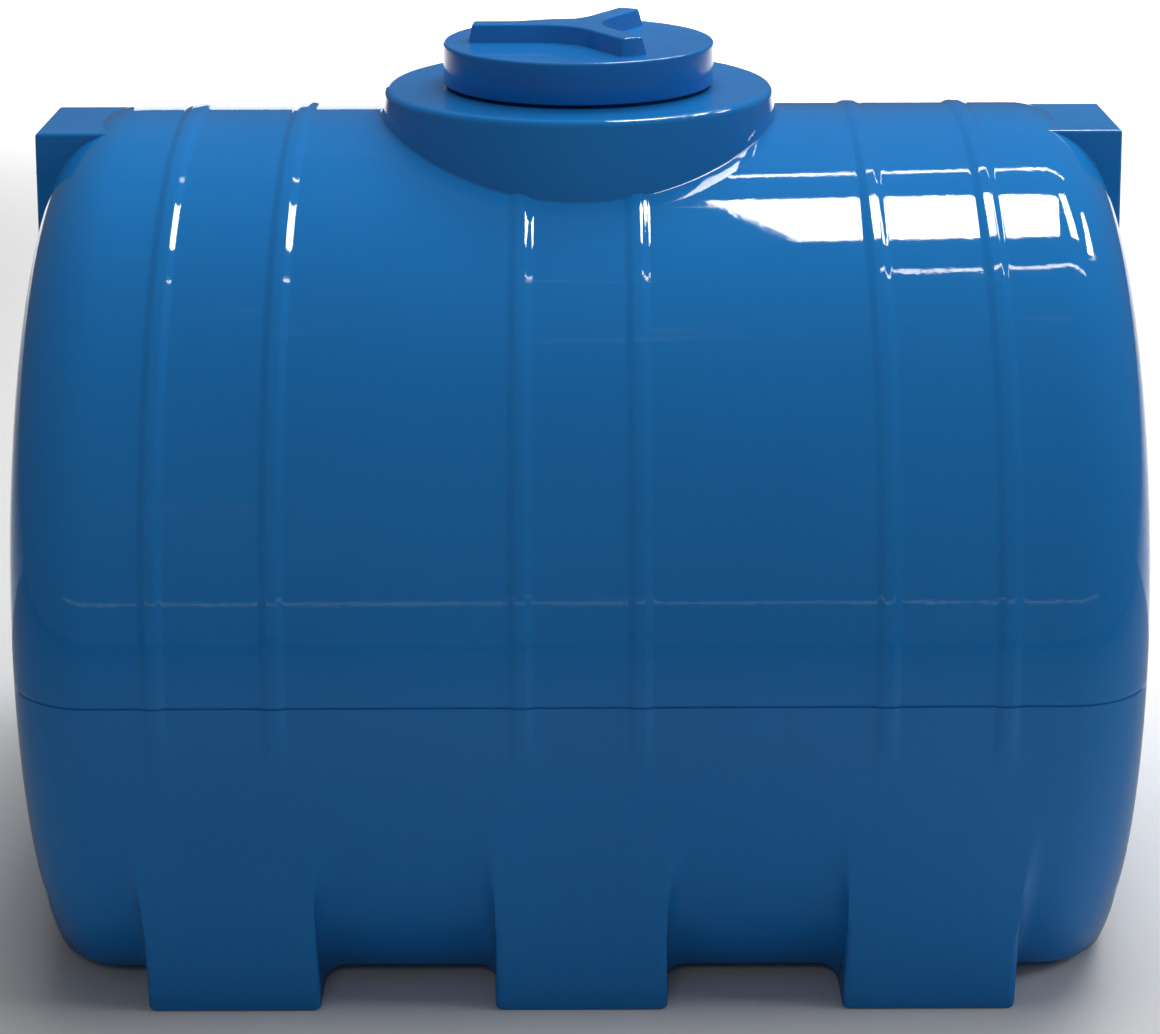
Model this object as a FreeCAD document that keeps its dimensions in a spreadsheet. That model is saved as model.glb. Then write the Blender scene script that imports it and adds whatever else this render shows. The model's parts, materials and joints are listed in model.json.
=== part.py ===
import FreeCAD, Part
import math
import os
import Sketcher
from FreeCAD import Placement, Rotation, Vector

# A horizontal stock water tank in millimetres. X runs along the barrel, -Y is the front, +Z is up.
# The origin is on the floor, under the middle of the barrel. Shell forms are drawn about the barrel's axis.

SIZES = {
    # allowances used all over
    "overshoot": 1,
    "press_clearance": 0.1,
    "turn_clearance": 0.05,
    "tool_reach": 100,
    # barrel and its domed ends
    "barrel_radius": 540,
    "axis_height": 364,
    "straight_half": 512,
    "half_length": 653,
    "corner_radius": 93,
    "wall": 8,
    "belly_depth": 348,
    # ribs round the barrel, in pairs above the feet
    "bay_spacing": 382,
    "rib_offset": 62.5,
    "rib_half_width": 13,
    "rib_height": 3,
    "rib_crest_half_width": 5,
    "rib_arc": 194,
    # saddle feet
    "foot_half_width": 94.7,
    "foot_half_width_top": 92.1,
    "foot_front": 488,
    "foot_front_top": 535,
    "foot_top_drop": 64,
    "foot_edge_radius": 9,
    # square shoulders at both ends, near the top
    "shoulder_half_width": 81,
    "shoulder_top": 532,
    "shoulder_bottom": 300,
    "shoulder_root": 420,
    "shoulder_reach": 617,
    "shoulder_draft": 7,
    # collar and threaded neck
    "collar_base_radius": 236,
    "collar_radius": 221,
    "collar_base": 440,
    "collar_top": 572,
    "collar_rim_radius": 9,
    "neck_radius": 141,
    "neck_top": 611,
    # screw lid and its thread
    "lid_radius": 155.5,
    "lid_bore": 146,
    "lid_height": 47,
    "lid_plate": 8,
    "lid_edge": 4,
    "lid_base": 940,
    "grip_reach": 123,
    "grip_half_width": 13,
    "grip_height": 20,
    "grip_hub_radius": 62,
    "grip_edge_radius": 3,
    "gasket_inner": 128,
    "gasket_outer": 141.5,
    "gasket_thickness": 3.8,
    "thread_pitch": 16,
    "thread_length": 20,
    "thread_base": 6,
    "thread_crest": 3,
    "thread_depth": 3.6,
    "thread_start": 584,
    # planes and round cut where the moulding is split into nodes
    "seam_height": 16,
    "foot_zone_half_width": 95.5,
    "collar_zone_radius": 250,
    "collar_zone_base": 800,
    "zone_reach": 800,
    # shoulder fittings
    "port_height": 475,
    "insert_radius": 24,
    "insert_bore": 16.6,
    "insert_face": 621,
    "insert_length": 14,
    "seal_thickness": 2,
    "seal_radius": 22,
    "plug_thread_radius": 16.4,
    "plug_flats": 42,
    "plug_head": 6,
    "plug_socket_flats": 17,
    # outlet pad on the rear, between two feet
    "outlet_across": 191,
    "outlet_drop": 288,
    "pad_radius": 52,
    "pad_face": 462,
    "pad_root": 380,
    "outlet_hole": 17.6,
    # outlet fitting, its seals and its nut
    "tail_radius": 16.5,
    "tail_bore": 12.5,
    "tail_length": 42.7,
    "flange_radius": 38,
    "flange_thickness": 6,
    "gasket_radius": 36,
    "washer_radius": 33,
    "washer_thickness": 3,
    "backnut_flats": 50,
    "backnut_length": 12,
    # ball valve
    "valve_face": 478,
    "valve_radius": 24,
    "valve_length": 53,
    "socket_radius": 16.6,
    "socket_depth": 10,
    "shoulder_bore": 11,
    "chamber_start": 13,
    "chamber_radius": 17.5,
    "chamber_end": 49,
    "mouth_radius": 20,
    "ball_radius": 15,
    "ball_bore": 9.5,
    "ball_centre": 31,
    "seat_length": 8,
    "seat_clearance": 0.3,
    "cap_flats": 44,
    "cap_length": 9,
    "cap_thread_radius": 15.2,
    "cap_thread_depth": 8,
    # stem, gland and lever
    "boss_radius": 10,
    "boss_height": 32,
    "stem_radius": 5,
    "stem_clearance": 0.08,
    "gland_radius": 7.6,
    "gland_depth": 7,
    "stem_seal_height": 4.5,
    "packing_flats": 19,
    "packing_height": 4,
    "stem_tip_radius": 4,
    "lever_level": 36.3,
    "lever_thickness": 3,
    "lever_hub_radius": 11,
    "lever_half_width": 6,
    "lever_length": 78,
    "lever_nut_flats": 13,
    "lever_nut_height": 5.5,
    "grip_start": 28,
    "grip_wrap_half_width": 9,
    "grip_wrap_thickness": 9,
    "grip_wrap_rounding": 3,
    "slot_width": 5,
    "slot_depth": 4,
    "tang_clearance": 0.2,
    "tang_half_length": 4,
    "tang_lift": 0.4,
}

doc = FreeCAD.newDocument("stock_water_tank")
sheet = doc.addObject("Spreadsheet::Sheet", "Sizes")
for row, (alias, number) in enumerate(SIZES.items(), start=1):
    sheet.set(f"A{row}", alias)
    sheet.set(f"B{row}", str(number))
    sheet.setAlias(f"B{row}", alias)
doc.recompute()


class Length:
    """A length worked out from the sheet: its formula, for binding, and its present value."""

    def __init__(self, text, number):
        self.text = text
        self.number = number

    def joined(self, sign, other, number):
        return Length(f"({self.text} {sign} {other.text})", number)

    def __add__(self, other):
        other = length(other)
        return self.joined("+", other, self.number + other.number)

    def __sub__(self, other):
        other = length(other)
        return self.joined("-", other, self.number - other.number)

    def __mul__(self, other):
        other = length(other)
        return self.joined("*", other, self.number * other.number)

    def __truediv__(self, other):
        other = length(other)
        return self.joined("/", other, self.number / other.number)

    def __neg__(self):
        return Length(f"(0 - {self.text})", -self.number)


def length(item):
    """An alias, a plain number or a Length, as a Length."""
    if isinstance(item, Length):
        return item
    if isinstance(item, str):
        return Length(f"Sizes.{item}", float(sheet.get(item)))
    return Length(repr(float(item)), float(item))


ZERO = length(0)
WALL = length("wall")
AXIS_HEIGHT = length("axis_height")


def bind(feature, path, item):
    """Sets a property to a sheet formula."""
    feature.setExpression(path, length(item).text)


def new_body(label):
    body = doc.addObject("PartDesign::Body", label)
    body.Label = label
    return body


def new_sketch(body, name, role, offset=ZERO):
    """A sketch on one of the body's origin planes, moved along the plane's normal."""
    plane = next(item for item in body.Origin.OriginFeatures if item.Role == role)
    sketch = body.newObject("Sketcher::SketchObject", name)
    sketch.AttachmentSupport = [(plane, "")]
    sketch.MapMode = "FlatFace"
    bind(sketch, "AttachmentOffset.Base.z", offset)
    return sketch


def pin_point(sketch, geometry, point, x, y):
    """Ties one point of a sketch's geometry to two sheet formulas."""
    for axis, item in (("DistanceX", x), ("DistanceY", y)):
        index = sketch.addConstraint(
            Sketcher.Constraint(axis, -1, 1, geometry, point, item.number))
        bind(sketch, f"Constraints[{index}]", item)


def polygon(sketch, corners):
    """A closed outline with every corner tied to the sheet."""
    corners = [(length(x), length(y)) for x, y in corners]
    count = len(corners)
    first = sketch.GeometryCount
    for index, (x, y) in enumerate(corners):
        next_x, next_y = corners[(index + 1) % count]
        start = Vector(x.number, y.number, 0)
        end = Vector(next_x.number, next_y.number, 0)
        sketch.addGeometry(Part.LineSegment(start, end), False)
    for index, (x, y) in enumerate(corners):
        following = first + (index + 1) % count
        sketch.addConstraint(Sketcher.Constraint("Coincident", first + index, 2, following, 1))
        pin_point(sketch, first + index, 1, x, y)
    return sketch


def rectangle(sketch, low_x, low_y, high_x, high_y):
    return polygon(sketch, [(low_x, low_y), (high_x, low_y), (high_x, high_y), (low_x, high_y)])


def circle(sketch, x, y, radius):
    """A circle with its centre and radius tied to the sheet."""
    x, y, radius = length(x), length(y), length(radius)
    centre = Vector(x.number, y.number, 0)
    index = sketch.addGeometry(Part.Circle(centre, Vector(0, 0, 1), radius.number), False)
    pin_point(sketch, index, 3, x, y)
    tie = sketch.addConstraint(Sketcher.Constraint("Radius", index, radius.number))
    bind(sketch, f"Constraints[{tie}]", radius)
    return sketch


def hexagon(sketch, flats):
    """A hexagon about the sketch's origin, with its flats facing along X."""
    half = length(flats) / 2
    corner = half / math.cos(math.pi / 6)
    return polygon(sketch, [
        (half, corner / -2), (half, corner / 2), (ZERO, corner),
        (-half, corner / 2), (-half, corner / -2), (ZERO, -corner)])


def revolve(body, name, kind, sketch, axis, angle=length(360), centred=False):
    """Turns a sketch about one of its own axes: kind is Revolution or Groove."""
    feature = body.newObject(f"PartDesign::{kind}", name)
    feature.Profile = sketch
    feature.ReferenceAxis = (sketch, [axis])
    feature.Midplane = centred
    bind(feature, "Angle", angle)
    return feature


def extrude(body, name, kind, sketch, distance, backwards=False, centred=False):
    """Pushes a sketch straight out: kind is Pad or Pocket."""
    feature = body.newObject(f"PartDesign::{kind}", name)
    feature.Profile = sketch
    feature.Reversed = backwards
    feature.Midplane = centred
    bind(feature, "Length", distance)
    return feature


def loft(body, name, first, last):
    feature = body.newObject("PartDesign::AdditiveLoft", name)
    feature.Profile = first
    feature.Sections = [last]
    feature.Ruled = True
    return feature


def round_edges(body, name, radius, wanted):
    """Fillets the edges of the body's last feature that the test picks."""
    doc.recompute()
    last = body.Tip
    names = [f"Edge{index}" for index, edge in enumerate(last.Shape.Edges, start=1) if wanted(edge)]
    feature = body.newObject("PartDesign::Fillet", name)
    feature.Base = (last, names)
    bind(feature, "Radius", radius)
    return feature


def turned(label, profile):
    """A body turned about its own Z axis from an outline of radii and heights."""
    body = new_body(label)
    sketch = polygon(new_sketch(body, f"{label}_profile", "XZ_Plane"), profile)
    revolve(body, f"{label}_turning", "Revolution", sketch, "V_Axis")
    return body


def ring(label, inner, outer, thickness):
    return turned(label, [(inner, 0), (outer, 0), (outer, thickness), (inner, thickness)])


def nut(label, flats, bore, height):
    """A hexagonal nut standing on its own XY plane."""
    body = new_body(label)
    sketch = hexagon(new_sketch(body, f"{label}_plan", "XY_Plane"), flats)
    circle(sketch, 0, 0, bore)
    extrude(body, f"{label}_pad", "Pad", sketch, height)
    return body


def place(item, x, y, z, turn=Rotation()):
    """Puts a part at sheet lengths, turned as given."""
    item.Placement = Placement(Vector(0, 0, 0), turn)
    for axis, where in zip("xyz", (x, y, z)):
        bind(item, f"Placement.Base.{axis}", where)
    return item


def primitive(kind, label, **sizes):
    """A Part primitive with every named size bound to the sheet."""
    item = doc.addObject(f"Part::{kind}", label)
    for name, size in sizes.items():
        bind(item, name, size)
    return item


def boolean(kind, label, base, tool):
    item = doc.addObject(f"Part::{kind}", label)
    item.Label = label
    item.Base = base
    item.Tool = tool
    return item


UP_TO_REAR = Rotation(Vector(1, 0, 0), -90)
UP_TO_RIGHT = Rotation(Vector(0, 1, 0), 90)
UP_TO_LEFT = Rotation(Vector(0, 1, 0), -90)


# ---- tank shell ----

def meridian(sketch, inset):
    """Half of the barrel's lengthwise section: straight side, corner arcs and shallow crowns."""
    radius = length("barrel_radius") - inset
    straight = length("straight_half")
    reach = length("half_length") - inset
    corner = length("corner_radius") - inset
    extra = reach.number - straight.number
    rise = radius.number - corner.number
    crown = (extra ** 2 + rise ** 2 - corner.number ** 2) / (2 * (extra - corner.number))
    crown_centre = reach.number - crown
    meet = math.atan2(rise, straight.number - crown_centre)
    axis = Vector(0, 0, 1)

    def arc(centre_x, centre_y, size, start, end):
        curve = Part.Circle(Vector(centre_x, centre_y, 0), axis, size)
        return Part.ArcOfCircle(curve, start, end)

    right_crown, right_corner, top, left_corner, left_crown, spine = range(6)
    sketch.addGeometry([
        arc(crown_centre, 0, crown, 0, meet),
        arc(straight.number, rise, corner.number, meet, math.pi / 2),
        Part.LineSegment(Vector(straight.number, radius.number, 0),
                         Vector(-straight.number, radius.number, 0)),
        arc(-straight.number, rise, corner.number, math.pi / 2, math.pi - meet),
        arc(-crown_centre, 0, crown, math.pi - meet, math.pi),
        Part.LineSegment(Vector(-reach.number, 0, 0), Vector(reach.number, 0, 0))], False)
    for one, other in ((right_crown, right_corner), (left_corner, left_crown)):
        sketch.addConstraint(Sketcher.Constraint("Tangent", one, 2, other, 1))
    sketch.addConstraint(Sketcher.Constraint("Tangent", right_corner, 2, top, 1))
    sketch.addConstraint(Sketcher.Constraint("Tangent", top, 2, left_corner, 1))
    sketch.addConstraint(Sketcher.Constraint("Coincident", left_crown, 2, spine, 1))
    sketch.addConstraint(Sketcher.Constraint("Coincident", spine, 2, right_crown, 1))
    for crown_arc in (right_crown, left_crown):
        sketch.addConstraint(Sketcher.Constraint("PointOnObject", crown_arc, 3, -1))
    for corner_arc in (right_corner, left_corner):
        tie = sketch.addConstraint(Sketcher.Constraint("Radius", corner_arc, corner.number))
        bind(sketch, f"Constraints[{tie}]", corner)
    pin_point(sketch, top, 1, straight, radius)
    pin_point(sketch, spine, 2, reach, ZERO)
    tie = sketch.addConstraint(
        Sketcher.Constraint("DistanceX", -1, 1, top, 2, -straight.number))
    bind(sketch, f"Constraints[{tie}]", -straight)
    tie = sketch.addConstraint(
        Sketcher.Constraint("DistanceX", -1, 1, spine, 1, -reach.number))
    bind(sketch, f"Constraints[{tie}]", -reach)
    return sketch


def block(body, name, low_plan, high_plan):
    """A tapered block between two rectangles, each with its own height."""
    sections = []
    for end, (height, low_x, low_y, high_x, high_y) in (("base", low_plan), ("head", high_plan)):
        sketch = new_sketch(body, f"{name}_{end}", "XY_Plane", length(height))
        sections.append(rectangle(sketch, low_x, low_y, high_x, high_y))
    return loft(body, name, *sections)


def tank_form(label, inset):
    """The tank's solid form about the barrel's axis, with every face drawn in by the inset."""
    inset = length(inset)
    body = new_body(label)
    barrel = meridian(new_sketch(body, f"{label}_meridian", "XZ_Plane"), inset)
    revolve(body, f"{label}_barrel", "Revolution", barrel, "H_Axis")

    # flat belly under the barrel
    radius = length("barrel_radius")
    belly = rectangle(new_sketch(body, f"{label}_belly", "YZ_Plane"),
                      -radius, -radius - "overshoot", radius, inset - "belly_depth")
    extrude(body, f"{label}_belly_cut", "Pocket", belly, length("zone_reach") * 2, centred=True)

    for number, bay in enumerate((-1, 0, 1), start=1):
        middle = length("bay_spacing") * bay
        low_half = length("foot_half_width") - inset
        high_half = length("foot_half_width_top") - inset
        low_front = length("foot_front") - inset
        high_front = length("foot_front_top") - inset
        block(body, f"{label}_foot_{number}",
              (inset - "axis_height", middle - low_half, -low_front, middle + low_half, low_front),
              (-length("foot_top_drop"), middle - high_half, -high_front,
               middle + high_half, high_front))

    for name, side in (("left", -1), ("right", 1)):
        root = length("shoulder_root") * side
        half = length("shoulder_half_width") - inset
        low_end = (length("shoulder_reach") + "shoulder_draft" - inset) * side
        high_end = (length("shoulder_reach") - inset) * side
        block(body, f"{label}_{name}_shoulder",
              (length("shoulder_bottom"), root, -half, low_end, half),
              (length("shoulder_top") - inset, root, -half, high_end, half))

    # a round pad with an upright face for the outlet: built out below, sunk in above
    pad_x = length("outlet_across")
    pad_z = -length("outlet_drop")
    face = length("pad_face") - inset
    boss = new_sketch(body, f"{label}_pad_boss", "XZ_Plane", -length("pad_root"))
    circle(boss, pad_x, pad_z, length("pad_radius") - inset)
    extrude(body, f"{label}_pad_out", "Pad", boss, face - "pad_root", backwards=True)
    recess = new_sketch(body, f"{label}_pad_recess", "XZ_Plane", -face)
    circle(recess, pad_x, pad_z, length("pad_radius") + inset)
    extrude(body, f"{label}_pad_in", "Pocket", recess, "tool_reach")
    return body


def add_collar(body, label, profile):
    sketch = polygon(new_sketch(body, f"{label}_collar_profile", "XZ_Plane"), profile)
    return revolve(body, f"{label}_collar", "Revolution", sketch, "V_Axis")


def thread_ridge(body, name, root_radius, outward, side):
    """A helical ridge on a neck or in a lid; side picks where it starts, at +X or at -X."""
    root = length(root_radius) * side
    crest = (length(root_radius) + length("thread_depth") * outward) * side
    buried = (length(root_radius) - length(outward)) * side
    base = length("thread_base") / 2
    top = length("thread_crest") / 2
    start = length("thread_start")
    if outward < 0:
        start = start + AXIS_HEIGHT - "lid_base"
    sketch = polygon(new_sketch(body, f"{name}_profile", "XZ_Plane"), [
        (buried, start - base), (root, start - base), (crest, start - top),
        (crest, start + top), (root, start + base), (buried, start + base)])
    feature = body.newObject("PartDesign::AdditiveHelix", name)
    feature.Profile = sketch
    feature.ReferenceAxis = (sketch, ["V_Axis"])
    feature.Mode = "pitch-height-angle"
    bind(feature, "Pitch", "thread_pitch")
    bind(feature, "Height", "thread_length")
    return feature


outer = tank_form("tank_outside", 0)
round_edges(outer, "foot_rounding", "foot_edge_radius",
            lambda edge: edge.BoundBox.ZMax < -SIZES["foot_top_drop"]
            and abs(edge.BoundBox.ZMin + SIZES["axis_height"]) < SIZES["overshoot"])
add_collar(outer, "tank_outside", [
    (0, "collar_base"), ("collar_base_radius", "collar_base"),
    ("collar_radius", "collar_top"), ("neck_radius", "collar_top"),
    ("neck_radius", "neck_top"), (0, "neck_top")])
round_edges(outer, "collar_rounding", "collar_rim_radius",
            lambda edge: abs(edge.BoundBox.ZMin - SIZES["collar_top"]) < SIZES["overshoot"]
            and abs(edge.BoundBox.XMax - SIZES["collar_radius"]) < SIZES["overshoot"])
thread_ridge(outer, "neck_thread", "neck_radius", 1, 1)

for number, bay in enumerate((-1, 0, 1), start=1):
    for end, hand in (("a", -1), ("b", 1)):
        centre = length("bay_spacing") * bay + length("rib_offset") * hand
        top = length("barrel_radius")
        half = length("rib_half_width")
        crest = length("rib_crest_half_width")
        shape = polygon(new_sketch(outer, f"rib_{number}{end}_section", "XZ_Plane"), [
            (centre - half, top - WALL / 2), (centre + half, top - WALL / 2), (centre + half, top),
            (centre + crest, top + "rib_height"), (centre - crest, top + "rib_height"),
            (centre - half, top)])
        revolve(outer, f"rib_{number}{end}", "Revolution", shape, "H_Axis", length("rib_arc"), True)

cavity = tank_form("tank_cavity", "wall")
add_collar(cavity, "tank_cavity", [
    (0, length("collar_base") - WALL),
    (length("collar_base_radius") - WALL, length("collar_base") - WALL),
    (length("collar_radius") - WALL, length("collar_top") - WALL),
    (length("neck_radius") - WALL, length("collar_top") - WALL),
    (length("neck_radius") - WALL, length("neck_top") + WALL), (0, length("neck_top") + WALL)])
hole = new_sketch(cavity, "outlet_hole_plan", "XZ_Plane", -length("pad_root"))
circle(hole, "outlet_across", -length("outlet_drop"), "outlet_hole")
extrude(cavity, "outlet_hole_bore", "Pad", hole, length("pad_face") - "pad_root" + WALL, backwards=True)
ports = circle(new_sketch(cavity, "port_plan", "YZ_Plane"), 0, "port_height", "insert_radius")
extrude(cavity, "port_bore", "Pad", ports, length("half_length") * 2, centred=True)

for form in (outer, cavity):
    place(form, ZERO, ZERO, AXIS_HEIGHT)
moulding = boolean("Cut", "moulding", outer, cavity)


# ---- the one moulding, split where its form changes so that collision can follow its skin ----

def zone(label, base, low, high):
    """The part of a shape between two corners given as sheet lengths."""
    spans = [length(end) - start for start, end in zip(low, high)]
    box = primitive("Box", f"{label}_zone", Length=spans[0], Width=spans[1], Height=spans[2])
    place(box, *low)
    return boolean("Common", label, base, box)


def split_moulding():
    """The collar, two roof halves, two ends, and the lower half cut between its feet and across them."""
    around = primitive("Cylinder", "collar_zone", Radius="collar_zone_radius", Height="zone_reach")
    place(around, ZERO, ZERO, "collar_zone_base")
    collar = boolean("Common", "tank_collar", moulding, around)
    rest = boolean("Cut", "moulding_rest", moulding, around)

    far = length("zone_reach")
    end = length("straight_half")
    seam = AXIS_HEIGHT + "seam_height"
    top = seam + far
    pieces = [
        collar,
        zone("tank_end_left", rest, (-far, -far, -far), (-end, far, top)),
        zone("tank_end_right", rest, (end, -far, -far), (far, far, top)),
        zone("tank_roof_front", rest, (-end, -far, seam), (end, ZERO, top)),
        zone("tank_roof_rear", rest, (-end, ZERO, seam), (end, far, top))]

    half = length("foot_zone_half_width")
    bay = length("bay_spacing")
    cuts = [-end, half - bay, -half, half, bay - half, end]
    feet = [("left", cuts[0], cuts[1]), ("middle", cuts[2], cuts[3]), ("right", cuts[4], cuts[5])]
    for name, low, high in feet:
        pieces.append(zone(f"tank_foot_{name}_front", rest, (low, -far, -far), (high, ZERO, seam)))
        pieces.append(zone(f"tank_foot_{name}_rear", rest, (low, ZERO, -far), (high, far, seam)))
    for name, low, high in (("left", cuts[1], cuts[2]), ("right", cuts[3], cuts[4])):
        pieces.append(zone(f"tank_belly_{name}", rest, (low, -far, -far), (high, far, seam)))
    return pieces


nodes = split_moulding()


# ---- lid ----

def make_lid():
    """A flat screw cap with a skirt, an inner thread and a three-armed grip."""
    bore = length("lid_bore")
    ceiling = length("lid_height") - "lid_plate"
    body = turned("screw_lid", [
        (0, ceiling), (bore, ceiling), (bore, 0), ("lid_radius", 0),
        ("lid_radius", length("lid_height") - "lid_edge"),
        (length("lid_radius") - "lid_edge", "lid_height"), (0, "lid_height")])
    thread_ridge(body, "lid_thread", bore, -1, -1)
    buried = length("lid_plate") / 2
    plan = new_sketch(body, "grip_plan", "XY_Plane", length("lid_height") - buried)
    rectangle(plan, -length("grip_reach"), -length("grip_half_width"), 0, "grip_half_width")
    arm = extrude(body, "grip_arm", "Pad", plan, length("grip_height") + buried)
    arms = body.newObject("PartDesign::PolarPattern", "grip_arms")
    arms.Originals = [arm]
    upright = next(item for item in body.Origin.OriginFeatures if item.Role == "Z_Axis")
    arms.Axis = (upright, [""])
    arms.Angle = 360
    arms.Occurrences = 3
    body.Tip = arms
    inner_corner = SIZES["grip_half_width"] * math.sqrt(2)
    round_edges(body, "grip_webs", "grip_hub_radius",
                lambda edge: abs(edge.BoundBox.ZLength - SIZES["grip_height"]) < SIZES["overshoot"]
                and abs(edge.BoundBox.DiagonalLength - SIZES["grip_height"]) < SIZES["overshoot"]
                and math.hypot(edge.CenterOfMass.x, edge.CenterOfMass.y) < inner_corner)
    grip_top = SIZES["lid_height"] + SIZES["grip_height"]
    round_edges(body, "grip_edges", "grip_edge_radius",
                lambda edge: edge.BoundBox.ZMin > grip_top - SIZES["overshoot"])
    return place(body, ZERO, ZERO, length("lid_base"))


def make_gasket():
    """The flat ring under the lid's ceiling that closes on the neck's rim."""
    body = ring("lid_gasket", "gasket_inner", "gasket_outer", "gasket_thickness")
    under = length("lid_base") + "lid_height" - "lid_plate" - "gasket_thickness"
    return place(body, ZERO, ZERO, under)


nodes += [make_lid(), make_gasket()]


# ---- plugged ports in the end shoulders ----

def make_port(name, side, turn):
    """A moulded-in insert, its plug with a socket head, and the ring under the head."""
    height = AXIS_HEIGHT + "port_height"
    face = length("insert_face")
    insert = ring(f"{name}_insert", "insert_bore", "insert_radius", "insert_length")
    place(insert, (face - "insert_length") * side, ZERO, height, turn)
    seal = ring(f"{name}_seal", "insert_bore", "seal_radius", "seal_thickness")
    place(seal, face * side, ZERO, height, turn)

    plug = nut(f"{name}_plug", "plug_flats", length("plug_socket_flats") / 2, "plug_head")
    stub = circle(new_sketch(plug, f"{name}_plug_stub_plan", "XY_Plane"), 0, 0, "plug_thread_radius")
    reach = length("insert_length") + "seal_thickness"
    extrude(plug, f"{name}_plug_stub", "Pad", stub, reach, backwards=True)
    place(plug, (face + "seal_thickness") * side, ZERO, height, turn)
    return [insert, seal, plug]


nodes += make_port("inlet", -1, UP_TO_LEFT)
nodes += make_port("overflow", 1, UP_TO_RIGHT)


# ---- outlet fitting through the rear pad ----

def at_outlet(item, forward):
    """Stands a turned part on the outlet's axis, its base at a depth behind the barrel's axis."""
    return place(item, length("outlet_across"), forward, AXIS_HEIGHT - "outlet_drop", UP_TO_REAR)


pad_inside = length("pad_face") - WALL
fitting = turned("outlet_fitting", [
    ("tail_bore", 0), ("flange_radius", 0), ("flange_radius", "flange_thickness"),
    ("tail_radius", "flange_thickness"), ("tail_radius", "tail_length"), ("tail_bore", "tail_length")])
inner_gasket = ring("outlet_inner_gasket", "outlet_hole", "gasket_radius", "washer_thickness")
outer_washer = ring("outlet_outer_washer", "outlet_hole", "washer_radius", "washer_thickness")
backnut = nut("outlet_backnut", "backnut_flats", "socket_radius", "backnut_length")
nodes += [
    at_outlet(fitting, pad_inside - "washer_thickness" - "flange_thickness"),
    at_outlet(inner_gasket, pad_inside - "washer_thickness"),
    at_outlet(outer_washer, length("pad_face")),
    at_outlet(backnut, length("pad_face") + "washer_thickness")]


# ---- ball valve: its axis is local Z, and the stem rises along local -Y ----

def make_valve_body():
    """A turned barrel with a boss for the stem, bored for the tail, the ball and the end cap."""
    body = turned("valve_body", [
        (0, 0), ("valve_radius", 0), ("valve_radius", "valve_length"), (0, "valve_length")])
    boss = circle(new_sketch(body, "boss_plan", "XZ_Plane"), 0, "ball_centre", "boss_radius")
    extrude(body, "boss", "Pad", boss, "boss_height")
    bore = polygon(new_sketch(body, "bore_profile", "XZ_Plane"), [
        (0, -length("overshoot")), ("socket_radius", -length("overshoot")),
        ("socket_radius", "socket_depth"),
        ("shoulder_bore", "socket_depth"), ("shoulder_bore", "chamber_start"),
        ("chamber_radius", "chamber_start"), ("chamber_radius", "chamber_end"),
        ("mouth_radius", "chamber_end"),
        ("mouth_radius", length("valve_length") + "overshoot"),
        (0, length("valve_length") + "overshoot")])
    revolve(body, "bore", "Groove", bore, "V_Axis")
    stem_hole = circle(new_sketch(body, "stem_hole_plan", "XZ_Plane"), 0, "ball_centre",
                       length("stem_radius") + "stem_clearance")
    extrude(body, "stem_hole", "Pocket", stem_hole, length("boss_height") + "overshoot", backwards=True)
    gland = circle(
        new_sketch(body, "gland_plan", "XZ_Plane", length("boss_height") - "gland_depth"),
        0, "ball_centre", "gland_radius")
    extrude(body, "gland", "Pocket", gland, length("gland_depth") + "overshoot", backwards=True)
    return body


def make_end_cap():
    """The threaded cap that holds the seats and ball in, with a hexagonal end and an open thread."""
    body = nut("valve_end_cap", "cap_flats", "ball_bore", "cap_length")
    depth = length("valve_length") - "chamber_end"
    spigot = circle(new_sketch(body, "spigot_plan", "XY_Plane"), 0, 0,
                    length("mouth_radius") - "press_clearance")
    circle(spigot, 0, 0, "ball_bore")
    extrude(body, "spigot", "Pad", spigot, depth, backwards=True)
    mouth = circle(new_sketch(body, "mouth_plan", "XY_Plane", "cap_length"), 0, 0, "cap_thread_radius")
    extrude(body, "mouth", "Pocket", mouth, "cap_thread_depth")
    return body


def make_seat(label, ball_side):
    """A ring in the chamber, hollowed on one side to the ball's curve."""
    outer_radius = length("chamber_radius") - "press_clearance"
    body = ring(label, "ball_bore", outer_radius, "seat_length")
    reach = length("ball_centre") - "chamber_start"
    centre = reach if ball_side > 0 else length("seat_length") - reach
    ball = new_sketch(body, f"{label}_ball_profile", "XZ_Plane")
    size = length("ball_radius") + "seat_clearance"
    curve = Part.Circle(Vector(0, centre.number, 0), Vector(0, 0, 1), size.number)
    ball.addGeometry(Part.ArcOfCircle(curve, -math.pi / 2, math.pi / 2), False)
    ball.addGeometry(Part.LineSegment(Vector(0, centre.number + size.number, 0),
                                      Vector(0, centre.number - size.number, 0)), False)
    ball.addConstraint(Sketcher.Constraint("Coincident", 0, 2, 1, 1))
    ball.addConstraint(Sketcher.Constraint("Coincident", 1, 2, 0, 1))
    pin_point(ball, 0, 3, ZERO, centre)
    tie = ball.addConstraint(Sketcher.Constraint("Radius", 0, size.number))
    bind(ball, f"Constraints[{tie}]", size)
    ball.addConstraint(Sketcher.Constraint("PointOnObject", 0, 2, -2))
    revolve(body, f"{label}_hollow", "Groove", ball, "V_Axis")
    return body


BALL_Y = length("valve_face") + "ball_centre"
STEM_X = length("outlet_across")
FLOW_Z = AXIS_HEIGHT - "outlet_drop"
tip_bore = length("stem_tip_radius") + "turn_clearance"


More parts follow.
